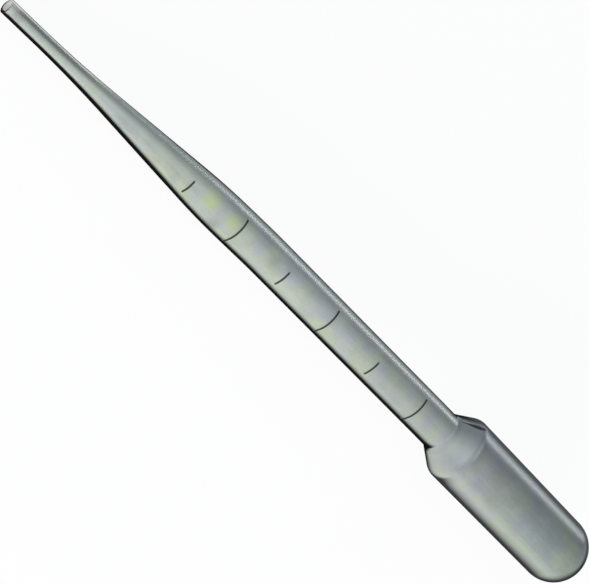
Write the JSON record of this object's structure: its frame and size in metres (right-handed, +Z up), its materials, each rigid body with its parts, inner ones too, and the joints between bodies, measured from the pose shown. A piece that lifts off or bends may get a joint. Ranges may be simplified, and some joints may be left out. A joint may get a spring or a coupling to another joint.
{
  "type": "dropper pipette",
  "caption": "Translucent one-piece squeeze-bulb dropper pipette with a tapered tip and raised graduation lines.",
  "frame": {"origin": "middle of the footprint, on the bench that the pipette lies on", "axes": "+Z up from the bench, -X towards the open tip and +X towards the squeeze bulb, with the graduation lines turned up and towards -Y"},
  "size_m": [0.1648, 0.0136, 0.0146],
  "materials": {
    "polyethylene": "translucent, softly glossy, slightly clouded"
  },
  "bodies": {
    "root": {"pipette": "polyethylene"}
  },
  "joints": []
}
